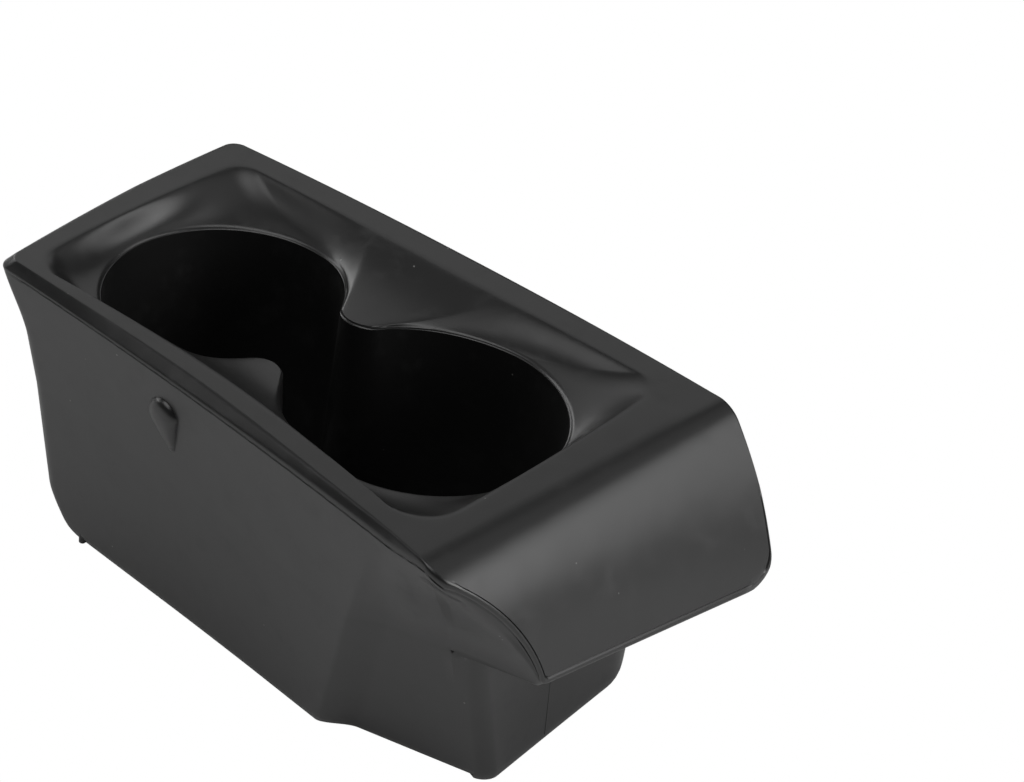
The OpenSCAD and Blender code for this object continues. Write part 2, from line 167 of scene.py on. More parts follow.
# Recess in the near wall: where it starts at the base, its slant, the run and depth of its soft
# step, its depth at the corner, and the share of its growth that comes fast, near the top
RECESS_X, RECESS_SLANT, RECESS_RUN = 46.0, 26.0, 11.0
RECESS_D, RECESS_STEP = 22.0, 4.0
RECESS_FAST, RECESS_FAST_H = 0.6, 0.4

# Easing of the near wall into the near edge of the apron: half its stretch, its samples, the
# places it works over, its growth downwards and its fading towards the apron
EASE, EASE_SAMPLES = 9.0, 17
EASE_WINDOW, EASE_FROM, EASE_SPAN = 0.6, 0.84, 0.12
EASE_GROWTH, EASE_FADE = 6, 3
# Height from which the block follows the eased foot of the wall
FOLLOW_Z, FOLLOW_RISE = 36.0, 16.0

# Parting line: a groove just under the near edge, its depth, how far it is below, its section
# as shares of both, how much its depth wavers, and where it fades out
PARTING_D, PARTING_DOWN = 0.45, 0.45
PARTING_SECTION = ((0, 2), (1, 1.3), (1, 0.6))
WAVER, WAVER_SPEEDS = 0.25, (0.9, 0.37)
PARTING_FADE = ((0, 0), (0.03, 1), (1.92, 1), (1.97, 0))
# Share of the wall that gives its slope there, the least drop of that, and the most of it used
PARTING_T, LEAST_DROP, MOST_OF_DROP = 0.04, 0.1, 0.9

# Line that runs along the edge of the apron: its depth, its section in shares of the way to the
# next ring, and where it fades out
APRON_LINE_D = 0.4
APRON_LINE_SECTION = ((0.2, 0), (0.36, 1), (0.52, 0))
APRON_LINE_FADE = ((1.02, 0), (1.12, 1), (3.2, 1), (3.4, 0))

# Boss: head and tail on the near wall as x and z, their radii, and how far they stand out
BOSS_HEAD, BOSS_TAIL = (-20.0, 80.2), (-17.4, 69.9)
BOSS_HEAD_R, BOSS_TAIL_R = 6.5, 1.7
BOSS_OUT, BOSS_TAIL_OUT, BOSS_OUT_POWER = 2.9, 0.7, 1.5
BOSS_FLATNESS, BOSS_ROUNDNESS = 2.6, 0.55
# Soft foot round the boss, and the patch of wall that carries it, a little proud of the wall
FOOT_H, FOOT_RUN = 0.32, 0.7
PATCH_LEFT, PATCH_RIGHT, PATCH_DOWN, PATCH_UP = 13.0, 7.0, 5.0, 9.0
PATCH_OUT = 0.12
PATCH_COLUMNS, PATCH_ROWS = 100, 110

# Seam in the end face of the block: y and z of its top and foot, its radius, how much of that
# is sunk in the face, and its steps
SEAM_TOP, SEAM_FOOT = (0.5, 52.0), (2.0, 3.0)
SEAM_R, SEAM_SUNK, SEAM_STEPS = 0.16, 0.2, 24

# Peg at the foot of the near wall
PEG_AT = (-66.0, -35.7)
PEG_R, PEG_ROUND, PEG_Z, PEG_TOP = 1.2, 0.35, 0.3, 5.0
PEG_SIDES = 32

# Points on each side of the outline, how they are drawn to one end, and points of a corner
SIDE_N = (150, 56, 60, 44, 150, 60)
SIDE_PULL = (1.3, 1, 1, 1, 0.7, 1)
ARC_N = 12
# Spokes of the wells turn away from those of the flange by up to this many degrees
SPOKE_TURN = 10.0
# Share of a spoke at which the rings over the apron reach the crease, the steps before and
# after it, and the stretch over which spokes beside the apron take this up
FOLD_SHARE, FOLD_STEPS, TOP_STEPS, FOLD_BLEND = 0.7, 18, 6, 16.0
FLANGE_STEP = FOLD_SHARE / FOLD_STEPS
# Steps of the other rings, and turns of the roundings in degrees
BASE_STEPS, BLOCK_STEPS, WALL_STEPS = 7, 25, 26
DISH_STEPS, DISH_POWER = 25, 1.25
WELL_TOP, WELL_LOW, WELL_STEPS = 0.96, 0.1, 18
FLOOR_START, FLOOR_STEPS = 0.99, 9
EDGE_TURNS = (11, 22, 34, 45, 46, 57, 68, 79, 90)
LIP_TURNS = (25, 45, 65, 90)
PEG_TURNS = (0, 30, 60, 90)
# Middle of the base, where its rings close, and how far the mesh keeps inside the box
BASE_MIDDLE = (0.0, 3.0, 0.0)
BOX_INSET = 0.01
# Shares of the way out from a centre at which the rings that close a stack are
CAP_SHARES = (0.3, 0.65)
# Angles in degrees above which an edge between two faces is sharp
CREASE, BOSS_CREASE, SEAM_CREASE, PEG_CREASE = 38, 80, 60, 40

# Smallest cross product that counts as a crossing, and the slack at the ends of a side
PARALLEL, SLACK = 1e-12, 1e-6


def lerp(a, b, t):
    """Value that is a share t of the way from a to b."""
    return a + (b - a) * t


def smooth(t):
    """Eases from 0 to 1: 3 k^2 - 2 k^3, with k held between 0 and 1."""
    k = np.clip(t, 0, 1)
    return k * k * (3 - 2 * k)


def unit(v):
    """Vector of length 1: v divided by its length."""
    return v / np.linalg.norm(v)


def half_angle(p, c, q):
    """Half the angle at the corner c between the sides to p and q."""
    return math.acos(np.clip(unit(p - c) @ unit(q - c), -1, 1)) / 2


def tangent(c, p, q, r):
    """Where the rounding of c meets the side to p: r / tan(half angle) from c. A negative
    radius is a plain distance from c."""
    return c + unit(p - c) * (-r if r < 0 else r / math.tan(half_angle(p, c, q)))


def corner(p, c, q, r):
    """Points of the rounding of the corner c: centre + r (cos a, sin a). With a negative radius
    they run straight to the corner and straight on."""
    t = np.linspace(0, 1, ARC_N + 1)[:, None]
    s = tangent(c, p, q, r)
    e = tangent(c, q, p, r)
    if r < 0:
        return np.where(t < 0.5, lerp(s, c, 2 * t), lerp(c, e, 2 * t - 1))
    half = half_angle(p, c, q)
    centre = c + unit(unit(p - c) + unit(q - c)) * r / math.sin(half)
    a = math.atan2(s[1] - centre[1], s[0] - centre[0]) + (math.pi - 2 * half) * t
    return centre + r * np.hstack([np.cos(a), np.sin(a)])


def side(s, e, bow, n, pull):
    """Points between two corners: the chord plus an outward bow of 4 b t (1 - t)."""
    k = np.arange(1, n)[:, None] / n
    t = 1 - (1 - k) ** pull if pull > 1 else k ** (2 - pull)
    d = unit(e - s)
    return s + (e - s) * t + np.array([d[1], -d[0]]) * bow * 4 * t * (1 - t)


def outline(corners, radii, bows):
    """Closed outline through six corners, anticlockwise from above: near left, near crease,
    near bottom of the apron, far bottom of the apron, far crease, far left. Each rounded corner
    is followed by the bowed side to the next one."""
    c = np.array(corners, float)
    loop = []
    for i in range(6):
        p, q, after = c[i - 1], c[(i + 1) % 6], c[(i + 2) % 6]
        loop.append(corner(p, c[i], q, radii[i]))
        start = tangent(c[i], q, p, radii[i])
        end = tangent(q, c[i], after, radii[(i + 1) % 6])
        loop.append(side(start, end, bows[i], SIDE_N[i], SIDE_PULL[i]))
    return np.vstack(loop)


# Place of each outline point: 0 is the near left corner, 1 the near crease, and so on
place = np.concatenate(
    [np.r_[np.full(ARC_N + 1, float(i)), i + np.arange(1, n) / n] for i, n in enumerate(SIDE_N)])
SPOKES = len(place)
near_end = np.where(place == 1)[0][-1]
bottom_start = np.where(place == 2)[0][0]
bottom_end = np.where(place == 3)[0][-1]
far_end = np.where(place == 4)[0][0]
on_apron = (place >= 2) & (place <= 3)
near_flank = (place > 1) & (place < 2)
far_flank = (place > 3) & (place < 4)


def along(pairs):
    """Value at each outline point, on straight lines between pairs of place and value."""
    return np.interp(place, *zip(*pairs))


def reach(loop, angle):
    """Distance from the middle of the neck to an outline, in each direction d. A ray meets the
    side p + s e at the distance (p x e) / (d x e), where s = (p x d) / (d x e)."""
    e = np.roll(loop, -1, 0) - loop
    dx, dy = np.cos(angle)[:, None], np.sin(angle)[:, None]
    det = dx * e[:, 1] - dy * e[:, 0]
    det = np.where(np.abs(det) < PARALLEL, PARALLEL, det)
    t = (loop[:, 0] * e[:, 1] - loop[:, 1] * e[:, 0]) / det
    s = (loop[:, 0] * dy - loop[:, 1] * dx) / det
    return np.where((t > 0) & (s >= -SLACK) & (s <= 1 + SLACK), t, 0).max(1)


def wells(a, m):
    """Distance in the direction a to two joined circles, less m all round, with round cusps
    between them that keep the width of the neck. A ray meets a circle of radius r, c along the
    wells, at the distance c cos a + sqrt(r^2 - (c sin a)^2). A cusp is part of a circle that
    touches both wells from outside."""
    m = np.broadcast_to(m, a.shape)
    rl, rr, c, tip = LEFT_WELL_R - m, RIGHT_WELL_R - m, WELL_C, NECK_W / 2
    mean, half = (rl + rr) / 2, (rr - rl) / 2
    cusp = (c * c + tip * tip - mean * mean) / (2 * (mean - tip))
    px, py = -half * (mean + cusp) / c, tip + cusp
    left_way = np.arctan2(py * rl / (rl + cusp), -c + (px + c) * rl / (rl + cusp))
    right_way = np.arctan2(py * rr / (rr + cusp), c + (px - c) * rr / (rr + cusp))
    ux, uy = np.cos(a), np.abs(np.sin(a))
    turn = np.arctan2(uy, ux)
    right = c * ux + np.sqrt(np.maximum(0, rr * rr - c * c * uy * uy))
    left = -c * ux + np.sqrt(np.maximum(0, rl * rl - c * c * uy * uy))
    chord = px * ux + py * uy
    neck = chord - np.sqrt(np.maximum(0, cusp ** 2 - px ** 2 - py ** 2 + chord ** 2))
    return np.where(turn < right_way, right, np.where(turn > left_way, left, neck))


# Flange and apron laid out flat, and the lip of the tray
flat_corners = np.array(
    [[LEFT_X + LEFT_SKEW, NEAR_LEFT_Y], [CREASE_X, NEAR_RIGHT_Y],
     [APRON_NEAR_A - APRON_TRIM, APRON_NEAR_Y], [APRON_FAR_A - APRON_TRIM, APRON_FAR_Y],
     [CREASE_X, FAR_RIGHT_Y], [LEFT_X, FAR_LEFT_Y]])
flat_edge = outline(
    flat_corners, FLAT_R, [-NEAR_HOLLOW, -FLANK_HOLLOW, 0, 0, FAR_BULGE, LEFT_BULGE])
tray_lip = outline(
    [[TRAY_LEFT_X + TRAY_SKEW, NEAR_LEFT_Y + RIM_NEAR_LEFT],
     [TRAY_RIGHT_X, NEAR_RIGHT_Y + RIM_NEAR_RIGHT],
     [TRAY_RIGHT_X + TRAY_RIGHT_OUT, NEAR_RIGHT_Y * TRAY_RIGHT_NEAR],
     [TRAY_RIGHT_X + TRAY_RIGHT_OUT, FAR_RIGHT_Y * TRAY_RIGHT_FAR],
     [TRAY_RIGHT_X, FAR_RIGHT_Y - RIM_FAR_RIGHT],
     [TRAY_LEFT_X, FAR_LEFT_Y - RIM_FAR_LEFT]],
    TRAY_R, [-TRAY_NEAR_HOLLOW, 0, 0, 0, TRAY_FAR_BULGE, TRAY_LEFT_BULGE])


def across(b):
    """Place across the roll: 0 at the near edge and 1 at the far one."""
    return np.clip((b - NEAR_RIGHT_Y) / (FAR_RIGHT_Y - NEAR_RIGHT_Y), 0, 1)


def roll_start(b):
    """X at which the flat top ends: it grows evenly from the near edge to the far one."""
    return lerp(ROLL_NEAR_X, ROLL_FAR_X, across(b))


def roll(a, b):
    """Bends the flat layout past the crease: an arc of radius r through the first angle, then a
    slow curve of a wide radius to the edge. Gives the points and the normals."""
    w = across(b)
    start = roll_start(b)
    s = np.maximum(0, a - start)
    r = lerp(ROLL_NEAR_R, ROLL_FAR_R, w)
    first = math.radians(ROLL_ANGLE)
    arc = r * first
    rest = lerp(ROLL_NEAR_LEN, ROLL_FAR_LEN, w) - arc
    second = np.radians(lerp(NEAR_CURL, FAR_CURL, w))
    wide = rest / second
    t1 = first * np.clip(s / arc, 0, 1)
    t2 = first + second * np.maximum(0, s - arc) / rest
    past = s > arc
    x = r * np.sin(t1) + np.where(past, wide * (np.sin(t2) - math.sin(first)), 0)
    z = r * (1 - np.cos(t1)) + np.where(past, wide * (math.cos(first) - np.cos(t2)), 0)
    turn = np.where(past, t2, t1)
    at = np.stack([np.minimum(a, start) + x, b, BODY_H - z], -1)
    return at, np.stack([np.sin(turn), 0 * turn, np.cos(turn)], -1)


def skin(a, b, drop):
    """The rolled surface at (a, b) of the flat layout, sunk by drop along its normal."""
    at, out = roll(a, b)
    return at - out * np.asarray(drop)[..., None]


edge_r = along(EDGE_BREADTH)
edge_q = np.minimum(along(EDGE_ROUNDING), edge_r * EDGE_Q_LIMIT)
edge = skin(flat_edge[:, 0], flat_edge[:, 1], edge_r)
way = np.arctan2(flat_edge[:, 1], flat_edge[:, 0])
well_way = way + math.radians(SPOKE_TURN) * np.sin(2 * way)
lip_r = reach(tray_lip, way)
lip_limit = reach(tray_lip, well_way)
flat_d = np.hypot(flat_edge[:, 0], flat_edge[:, 1])


def flange_share(t):
    """Share of a spoke from the edge to the lip. Spokes over the apron reach the crease at
    FOLD_SHARE and go on evenly from there, so that a ring runs along the crease."""
    out, lip = flat_d * np.cos(way), lip_r * np.cos(way)
    start = roll_start(np.tan(way) * CREASE_X)
    cross = np.where(out > start, (out - start) / (out - lip), 0)
    if t < FOLD_SHARE:
        fold = cross * t / FOLD_SHARE
    else:
        fold = lerp(cross, 1, (t - FOLD_SHARE) / (1 - FOLD_SHARE))
    return lerp(t, fold, smooth((out - start) / FOLD_BLEND))


def flange_ring(inset, t, drop):
    """Ring of the flange at the share t of the way from the edge, less an inset, to just before
    the lip, sunk by drop below the rolled surface."""
    d = lerp(flat_d - inset, lip_r + LIP_STRIP, flange_share(t))
    return skin(d * np.cos(way), d * np.sin(way), drop)


def edge_ring(a):
    """Section of the edge at the turn a: a small arc of radius q, a straight slope of 45
    degrees and a second arc of radius q, together as broad and as high as r."""
    if a <= math.pi / 4:
        return flange_ring(edge_q * (1 - math.cos(a)), 0.0, edge_r - edge_q * math.sin(a))
    return flange_ring(edge_r - edge_q * math.cos(a), 0.0, edge_q * (1 - math.sin(a)))


def apron_line_ring(k, depth):
    """Ring a share k of the way from the edge to the next ring, sunk by a depth on the apron."""
    step = flange_share(FLANGE_STEP) * np.maximum(flat_d - edge_r - lip_r - LIP_STRIP, 0)
    return flange_ring(edge_r + k * step, 0.0, depth * along(APRON_LINE_FADE))


def well_at(m):
    """Distance along the well spokes to the wells less m, moved by WELL_Y to the far side."""
    return wells(well_way, m) + WELL_Y * np.sin(well_way)


def shifted(d):
    """Points at distance d along the well spokes, moved with the neck by (1 - (x / c)^2)^2."""
    x, y = d * np.cos(well_way), d * np.sin(well_way)
    k = np.clip(1 - (x / WELL_C) ** 2, 0, 1)
    return x + NECK_X * k * k, y


mouth_r = np.minimum(well_at(0.0), lip_limit - LEAST_DISH)
crisp = smooth((np.cos(way - math.radians(CRISP_WAY)) - CRISP_FROM) / CRISP_SPAN)
lip_soft = lerp(LIP_SOFT, LIP_CRISP, crisp)


def dish_z(t):
    """Height of the dish from lip (t = 0) to well (t = 1). The depth is the soft lesser of the
    depth at that well and one that grows with the breadth. The way down starts round, as
    sqrt(t^2 + k^2) does, then falls steeply and runs on as a bench."""
    gap = lip_limit - mouth_r
    to_right = np.clip((mouth_r * np.cos(well_way) + WELL_C) / WELL_PITCH, 0, 1)
    deep = lerp(DISH_LEFT, DISH_RIGHT, to_right)
    by_gap = NARROW_DEPTH + gap * NARROW_SLOPE
    depth = (deep + by_gap - np.sqrt((deep - by_gap) ** 2 + DEPTH_BLEND)) / 2
    k = lip_soft / np.maximum(gap, LEAST_DISH)
    s = (np.sqrt(t * t + k * k) - k) / (np.sqrt(1 + k * k) - k)
    return BODY_H - depth * lerp(1 - (1 - s) ** STEEP, s, BENCH)


def dish_ring(t):
    """Ring of the dish: straight from the lip to the mouth of the wells, seen from above."""
    mouth_x, mouth_y = shifted(mouth_r)
    x = lerp(lip_r * np.cos(way), mouth_x, t)
    y = lerp(lip_r * np.sin(way), mouth_y, t)
    return np.stack([x, y, dish_z(t)], -1)


def well_ring(z, inset):
    """Wall of the wells at height z: it is narrower by WELL_LEAN at the floor than at BODY_H,
    and by an inset all round."""
    m = WELL_LEAN * (1 - (z - FLOOR_T) / (BODY_H - FLOOR_T))
    x, y = shifted(np.minimum(well_at(m), mouth_r) - inset)
    return np.stack([x, y, z], -1)


def floor_ring(t):
    """Rounding of the floor of the wells, a quarter circle of FLOOR_R: r (1 - sin a) inwards
    and r (1 - cos a) up, with a from the floor (t = 0) to the wall (t = 1)."""
    a = math.pi / 2 * t
    x, y = shifted(well_at(WELL_LEAN + LIP_ROUND) - FLOOR_R * (1 - math.sin(a)))
    z = np.full(SPOKES, FLOOR_T + FLOOR_R * (1 - math.cos(a)))
    return np.stack([x, y, z], -1)


def recess(x, z):
    """Depth of the recess in the near wall: a soft step along a slanted line, then a steady
    growth along the wall. Downwards it grows fast at first and then evenly."""
    down = np.clip((WALL_TOP_Z - z) / WALL_TOP_Z, 0, 1)
    start = RECESS_X + RECESS_SLANT * z / BODY_H
    step = RECESS_STEP * smooth((x - start) / RECESS_RUN)
    past = np.clip((x - start) / (BLOCK_NEAR_X - start), 0, 1)
    by_height = RECESS_FAST * smooth(down / RECESS_FAST_H) + (1 - RECESS_FAST) * down
    return (step + (RECESS_D - RECESS_STEP) * past) * by_height


def lean(z):
    """How far a wall stands in at height z: evenly from WALL_LEAN at the base to nothing."""
    return WALL_LEAN * (1 - z / WALL_TOP_Z)


def left_wall(z):
    """X of the left wall: an overhang under the flange that eases from one depth to another,
    a share of the lean, and a toe at the base that falls off with a power of the height."""
    overhang = lerp(LEFT_OVERHANG, LEFT_OVERHANG_TOP, smooth((z - BODY_H) / OVERHANG_H + 1))
    toe = TOE * max(0.0, 1 - z / TOE_H) ** TOE_POWER
    return LEFT_X + overhang + lean(z) * LEFT_LEAN + toe


def near_left(z):
    """Near left corner of the walls at height z."""
    return np.array([left_wall(z), NEAR_LEFT_Y + lean(z) + NEAR_OVERHANG])


def near_right(z):
    """Near corner of the block at height z, where the wall leans more than at the left."""
    return np.array([BLOCK_NEAR_X, NEAR_RIGHT_Y + lean(z) * RIGHT_LEAN + NEAR_OVERHANG])


def far_right(z):
    """Far corner of the block at height z."""
    return np.array([BLOCK_FAR_X, FAR_RIGHT_Y - lean(z) - FAR_OVERHANG - FAR_RIGHT_IN])


def far_left(z):
    """Far left corner of the walls at height z."""
    return np.array([left_wall(z), FAR_LEFT_Y - lean(z) - FAR_OVERHANG])


def between(p, q, x):
    """Point at x on the straight line from p to q."""
    return lerp(p, q, (x - p[0]) / (q[0] - p[0]))


def near_bow(z):
    """Bow of the near wall: none at the base, growing evenly to the hollow of the flange."""
    return -NEAR_HOLLOW * z / BODY_H


def near_knee(z):
    """Point of the near wall just before the rounded corner of the block."""
    return between(near_left(z), near_right(z), BLOCK_NEAR_X - BLOCK_NEAR_R - KNEE_IN)


def far_knee(z):
    """Point of the far wall just before the rounded corner of the block."""
    return between(far_left(z), far_right(z), BLOCK_FAR_X - BLOCK_FAR_R - KNEE_IN)


def block_ring(z, inset=0.0):
    """Walls below the apron, with the block on their right: the outline at height z, drawn in
    towards the middle by an inset, less on the end face, with the recess cut into it."""
    loop = outline(
        [near_left(z), near_knee(z), near_right(z), far_right(z), far_knee(z), far_left(z)],
        [LEFT_NEAR_R, -KNEE_LEN, BLOCK_NEAR_R, BLOCK_FAR_R, -KNEE_LEN, LEFT_FAR_R],
        [near_bow(z), 0, 0, 0, WALL_FAR_BULGE, LEFT_BULGE])
    d = loop / np.linalg.norm(loop, axis=1)[:, None]
    cut = inset * np.where(on_apron, BASE_END_SHARE, 1)
    y = loop[:, 1] - d[:, 1] * cut + recess(loop[:, 0], z) * np.clip(3 - place, 0, 1)
    y = y + foot_shift * smooth((z - FOLLOW_Z) / FOLLOW_RISE)
    return np.stack([loop[:, 0] - d[:, 0] * cut, y, np.full(SPOKES, float(z))], -1)


def above(corner_point):
    """A corner of the bottom edge of the apron, seen from above."""
    return skin(corner_point[0], corner_point[1], EDGE_R)[:2]


bottom_near, bottom_far = above(flat_corners[2]), above(flat_corners[3])


def wall_loop(t):
    """Walls above the underside of the apron, from the flange (t = 0) to the underside (t = 1).
    Corners and roundings go from those of the flange to those of the block."""
    z = lerp(WALL_TOP_Z, UNDERSIDE_Z, t)
    near = lerp(np.array([CREASE_X, near_right(z)[1]]), near_knee(z), t)
    far = lerp(np.array([CREASE_X, FAR_RIGHT_Y - FAR_CREASE_IN]), far_knee(z), t)
    loop = outline(
        [near_left(z), near, bottom_near, bottom_far, far, far_left(z)],
        [lerp(FLAT_R[0], LEFT_NEAR_R, t), lerp(FLAT_R[1], KNEE_LEN, t), FLAT_R[2], FLAT_R[3],
         lerp(FLAT_R[4], FAR_KNEE_R, t),
         lerp(FLAT_R[5], LEFT_FAR_R, smooth(t * LEFT_FAR_SPEED))],
        [near_bow(z), 0, 0, 0, lerp(FAR_BULGE, WALL_FAR_BULGE, t), LEFT_BULGE])
    y = loop[:, 1] + recess(loop[:, 0], z) * (place < 2)
    return np.stack([loop[:, 0], y, np.full(SPOKES, float(z))], -1)


def eased(ring, t):
    """Eases the near wall into the near edge of the apron: each point takes the mean of its
    neighbours within a stretch that grows downwards."""
    near = (place > EASE_WINDOW) & (place < 2)
    h = EASE * smooth(EASE_GROWTH * t) * np.clip(EASE_FADE * (2 - place), 0, 1)
    h = (h * smooth((place - EASE_FROM) / EASE_SPAN))[near]
    x, y = ring[near, 0], ring[near, 1]
    shares = np.linspace(-1, 1, EASE_SAMPLES)
    out = ring.copy()
    out[near, 1] = np.mean([np.interp(x + k * h, x, y) for k in shares], 0)
    return out


def wall_foot():
    """Lower end of the walls: the wall, the inside of the apron a lip's thickness in and down
    from the edge, and straight lines between."""
    low = edge + np.array([-APRON_LIP, 0, -APRON_LIP])
    low[:, 2] = np.minimum(low[:, 2], UNDERSIDE_Z + INNER_LIP_UP)
    out = np.where(on_apron[:, None], low, wall_loop(1.0))
    for a, b in ((near_end, bottom_start), (bottom_end, far_end)):
        out[a:b + 1] = lerp(out[a], out[b], np.linspace(0, 1, b - a + 1)[:, None])
    return out


wall_top = wall_loop(0.0)
plain_foot = wall_foot()
foot = eased(plain_foot, 1.0)
foot_shift = foot[:, 1] - plain_foot[:, 1]
foot_shift = np.where(place <= 1, foot_shift, foot_shift[near_end] * np.clip(2 - place, 0, 1))


def upper_ring(t):
    """Walls above the underside, moved at the top to meet the edge. The inside of the apron
    runs straight from edge to foot, and a flank of the apron follows the section of the wall
    next to it, by the share of the way from edge to foot that the wall has gone."""
    wall = wall_loop(t) + (edge - wall_top) * (1 - t)
    out = np.where(on_apron[:, None], lerp(edge, foot, t), wall)
    for flank, a in ((near_flank, near_end), (far_flank, far_end)):
        share = (wall[a, 1] - edge[a, 1]) / (foot[a, 1] - edge[a, 1])
        out[flank] = lerp(edge[flank], foot[flank], t)
        out[flank, 1] = lerp(edge[flank, 1], foot[flank, 1], share)
    return eased(out, t)


def parting_ring(depth, down):
    """Wall just under the near edge, sunk by a depth that wavers along the line as the product
    of two sines."""
    x = edge[:, 0]
    fast, slow = WAVER_SPEEDS
    waver = 1 - WAVER + WAVER * np.sin(fast * x) * np.sin(slow * x + 1)
    below = upper_ring(PARTING_T)
    drop = np.maximum(edge[:, 2] - below[:, 2], LEAST_DROP)
    out = lerp(edge, below, np.minimum(down / drop, MOST_OF_DROP)[:, None])
    out[:, 1] += depth * waver * along(PARTING_FADE)
    return out


def joint_ring():
    """Top of the block: its walls run straight up to their foot, the rest is a plain ring."""
    low, high = block_ring(UNDERSIDE_Z - JOINT_LOW), block_ring(UNDERSIDE_Z - JOINT_HIGH)
    wall = (place <= 1) | (place >= 4)
    return np.where(wall[:, None], lerp(low, foot, 1 - JOINT_HIGH / JOINT_LOW), high)


def block_rings():
    """Rounding of the base, r (1 - sin a) up and r (1 - cos a) in, and the walls of the block."""
    out = []
    for a in np.linspace(math.pi / 2, 0, BASE_STEPS):
        out.append(block_ring(BASE_R * (1 - math.sin(a)), BASE_R * (1 - math.cos(a))))
    for z in np.linspace(BASE_R, UNDERSIDE_Z - JOINT_LOW, BLOCK_STEPS)[1:]:
        out.append(block_ring(z))
    return out + [joint_ring()]


def wall_rings():
    """Walls from their foot up to the edge, with the groove of the parting line."""
    out = [upper_ring(t) for t in np.linspace(1, 0, WALL_STEPS)[:-1]]
    for deep, down in PARTING_SECTION:
        out.append(parting_ring(PARTING_D * deep, PARTING_DOWN * down))
    return out + [edge]


def flange_rings():
    """Section of the edge, the line along the apron, and the flange up to the lip."""
    out = [edge_ring(a) for a in np.radians(EDGE_TURNS)]
    for k, deep in APRON_LINE_SECTION:
        out.append(apron_line_ring(k, APRON_LINE_D * deep))
    for t in np.linspace(FLANGE_STEP, FOLD_SHARE, FOLD_STEPS):
        out.append(flange_ring(edge_r, t, 0.0))
    for t in np.linspace(FOLD_SHARE, 1, TOP_STEPS)[1:]:
        out.append(flange_ring(edge_r, t, 0.0))
    return out


def dish_rings():
    """Dish from the lip to the mouth of the wells, with the rings closer near the lip."""
    return [dish_ring(t) for t in np.linspace(0, 1, DISH_STEPS)[1:] ** DISH_POWER]


def well_rings():
    """Rounded mouth, an elliptical quarter turn, then the walls and the rounding of the floor."""
    mouth_z = dish_z(1.0)
    out = []
    for a in np.radians(LIP_TURNS):
        out.append(well_ring(mouth_z - LIP_DOWN * math.sin(a), LIP_ROUND * (1 - math.cos(a))))
    for h in np.linspace(WELL_TOP, WELL_LOW, WELL_STEPS):
        out.append(well_ring(lerp(FLOOR_T, mouth_z, h), LIP_ROUND))
    return out + [floor_ring(t) for t in np.linspace(FLOOR_START, 0, FLOOR_STEPS)]


def mesh_piece(name, points, faces, crease=CREASE):
    """One object from points in millimetres, smooth but for creases sharper than an angle."""
    mesh = bpy.data.meshes.new(name)
    mesh.from_pydata((points * MM).tolist(), [], faces)
    mesh.validate()
    mesh.polygons.foreach_set("use_smooth", np.ones(len(mesh.polygons), bool))
    mesh.set_sharp_from_angle(angle=math.radians(crease))
    mesh.update()
    piece = bpy.data.objects.new(name, mesh)
    bpy.context.scene.collection.objects.link(piece)
    return piece


def grid_faces(rows, columns, closed=True):
    """Quads of a grid whose points are numbered row by row. A closed grid joins the last column
    to the first."""
    quads = columns if closed else columns - 1
    j, i = np.meshgrid(np.arange(rows - 1), np.arange(quads), indexing="ij")
    a, b = j * columns + i, j * columns + (i + 1) % columns
    return np.stack([a, b, b + columns, a + columns], -1).reshape(-1, 4).tolist()


def capped(rings, low_centre, high_centre):
    """Closes a stack of rings: at each end the last ring is drawn to a centre in two steps and
    then meets it in a fan of triangles."""
    n = rings.shape[1]
    low = [lerp(low_centre, rings[0], k) for k in CAP_SHARES]
    high = [lerp(high_centre, rings[-1], k) for k in reversed(CAP_SHARES)]
    stack = np.concatenate([low, rings, high])
    points = np.vstack([stack.reshape(-1, 3), low_centre, high_centre])
    last, low_pole, high_pole = (len(stack) - 1) * n, len(stack) * n, len(stack) * n + 1
    i, after = np.arange(n), (np.arange(n) + 1) % n
    faces = grid_faces(len(stack), n)
    faces += np.stack([np.full(n, low_pole), after, i], -1).tolist()
    faces += np.stack([np.full(n, high_pole), last + i, last + after], -1).tolist()
    return points, faces


def tube(path, radius, sides=8):
    """Tube along a path: at each point a circle across the path, r (u cos a + v sin a)."""
    path = np.asarray(path, float)
    d = np.gradient(path, axis=0)
    d /= np.linalg.norm(d, axis=1)[:, None]
    nearly_up = np.array([0.001, 0.001, 1.001])
    u = np.cross(d, nearly_up)
    u /= np.linalg.norm(u, axis=1)[:, None]
    v = np.cross(d, u)
    a = np.linspace(0, 2 * math.pi, sides, endpoint=False)
    circle = u[:, None] * np.cos(a)[None, :, None] + v[:, None] * np.sin(a)[None, :, None]
    return path[:, None] + circle * radius


def moulding_body():
    """The whole moulding: all its rings from the base up, over the flange and down into the
    wells, kept inside the box of the CAD model and closed at the base and at the floor."""
    rings = np.array(block_rings() + wall_rings() + flange_rings() + dish_rings() + well_rings())
    lowest, highest = (np.array(v) / MM for v in cad_box)
    rings = np.clip(rings, lowest + BOX_INSET, highest)
    points, faces = capped(rings, np.array(BASE_MIDDLE), np.array([0.0, 0.0, FLOOR_T]))
    return mesh_piece("moulding", points, faces)


def near_wall_y(x, z):
    """Y of the near wall at x, on the ring of the wall at height z."""
    ring = wall_loop((WALL_TOP_Z - z) / (WALL_TOP_Z - UNDERSIDE_Z))
    near = place <= 1
    return np.interp(x, ring[near, 0], ring[near, 1])


